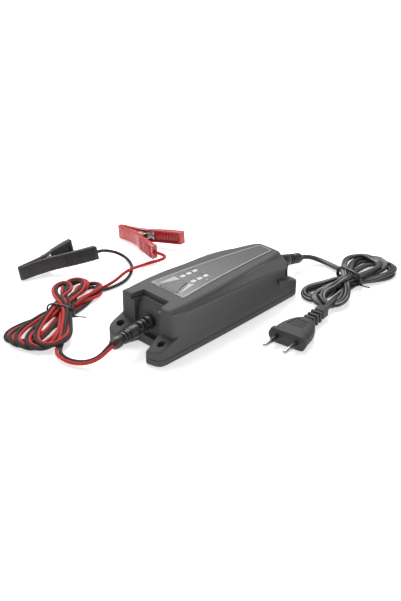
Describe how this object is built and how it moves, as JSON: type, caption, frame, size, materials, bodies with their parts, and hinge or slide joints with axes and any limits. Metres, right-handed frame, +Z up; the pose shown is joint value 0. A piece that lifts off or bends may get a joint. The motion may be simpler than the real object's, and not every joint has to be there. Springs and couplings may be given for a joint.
{
  "type": "car battery charger",
  "caption": "Compact sealed car battery charger with screw ears, a bundled mains lead with its plug, and a bundled output lead ending in red and black spring clamps.",
  "frame": {"origin": "centre of the charger's underside, on the surface that it stands on", "axes": "+X along the charger from its output lead end to its mains lead end, +Y across it, +Z up out of its label"},
  "size_m": [0.327, 0.2766, 0.0445],
  "materials": {
    "charger_plastic": "fine moulded texture, satin, warm dark grey",
    "relief_rubber": "satin",
    "seal_rubber": "matte",
    "label_film": "satin film with a silver border",
    "light_window": "frosted",
    "button_plastic": "satin",
    "plug_plastic": "fine moulded texture",
    "pin_metal": "nickel plated, satin",
    "pin_sleeve": "smooth",
    "clamp_red": "satin with ribbed grips",
    "clamp_black": "satin with ribbed grips",
    "clamp_steel": "plated, lightly brushed",
    "wire_red": "smooth, satin",
    "wire_black": "smooth, satin",
    "mains_cord": "smooth, satin",
    "tie_wire": "satin",
    "screw_steel": "zinc plated",
    "board": "solder mask",
    "component_black": "matte",
    "ferrite": "matte",
    "winding_tape": "satin tape",
    "copper_winding": "enamelled copper",
    "capacitor_sleeve": "satin",
    "bare_aluminium": "milled",
    "fuse_glass": "clear"
  },
  "bodies": {
    "charger": {"top_housing": "charger_plastic", "base_tray": "charger_plastic", "sealing_gasket": "seal_rubber", "housing_screw_1": "screw_steel", "housing_screw_2": "screw_steel", "housing_screw_3": "screw_steel", "housing_screw_4": "screw_steel", "top_label": "label_film", "light_guide": "light_window", "front_strain_relief": "relief_rubber", "rear_strain_relief": "relief_rubber", "circuit_board": "board", "control_board": "board", "tact_switch": "component_black", "transformer_core": "ferrite", "transformer_winding": "winding_tape", "mains_capacitor": "component_black", "output_capacitor_1": "component_black", "output_capacitor_2": "component_black", "filter_choke": "copper_winding", "heat_sink": "bare_aluminium", "power_transistor": "component_black", "rectifier_diode": "component_black", "mains_fuse": "fuse_glass", "filter_capacitor": "capacitor_sleeve", "plug_body": "plug_plastic", "plug_boot": "plug_plastic", "plug_pin_1": "pin_metal", "plug_pin_2": "pin_metal", "plug_pin_sleeve_1": "pin_sleeve", "plug_pin_sleeve_2": "pin_sleeve", "output_hank": "wire_red", "output_hank_tie": "tie_wire", "mains_hank": "mains_cord", "mains_hank_tie": "tie_wire", "output_lead": "wire_red", "red_lead": "wire_red", "black_lead": "wire_black", "mains_lead_a": "mains_cord", "mains_lead_b": "mains_cord", "red_clamp_fixed_shell": "clamp_red", "red_clamp_fixed_jaw": "clamp_steel", "red_clamp_pivot_pin": "clamp_steel", "red_clamp_spring": "clamp_steel", "black_clamp_fixed_shell": "clamp_black", "black_clamp_fixed_jaw": "clamp_steel", "black_clamp_pivot_pin": "clamp_steel", "black_clamp_spring": "clamp_steel"},
    "mode_button": {"mode_button": "button_plastic"},
    "red_clamp_arm": {"red_clamp_moving_shell": "clamp_red", "red_clamp_moving_jaw": "clamp_steel", "red_clamp_spring_arm": "clamp_steel"},
    "black_clamp_arm": {"black_clamp_moving_shell": "clamp_black", "black_clamp_moving_jaw": "clamp_steel", "black_clamp_spring_arm": "clamp_steel"}
  },
  "joints": [
    {"name": "mode_button_press", "type": "slide", "parent": "charger", "child": "mode_button", "axis": [0, 0, -1], "range_m": [0, 0.0005], "stiffness_N_per_m": 400, "springref_m": -0.0008},
    {"name": "red_clamp_hinge", "type": "hinge", "parent": "charger", "child": "red_clamp_arm", "pos_m": [0.0537, 0.13844, 0.00954], "axis": [-0.0312, -0.1056, -0.9939], "range_deg": [0, 40], "stiffness_Nm_per_rad": 0.25, "springref_deg": -22.92},
    {"name": "black_clamp_hinge", "type": "hinge", "parent": "charger", "child": "black_clamp_arm", "pos_m": [-0.04187, 0.16076, 0.00917], "axis": [0.0511, -0.2028, -0.9779], "range_deg": [0, 40], "stiffness_Nm_per_rad": 0.25, "springref_deg": -22.92}
  ]
}
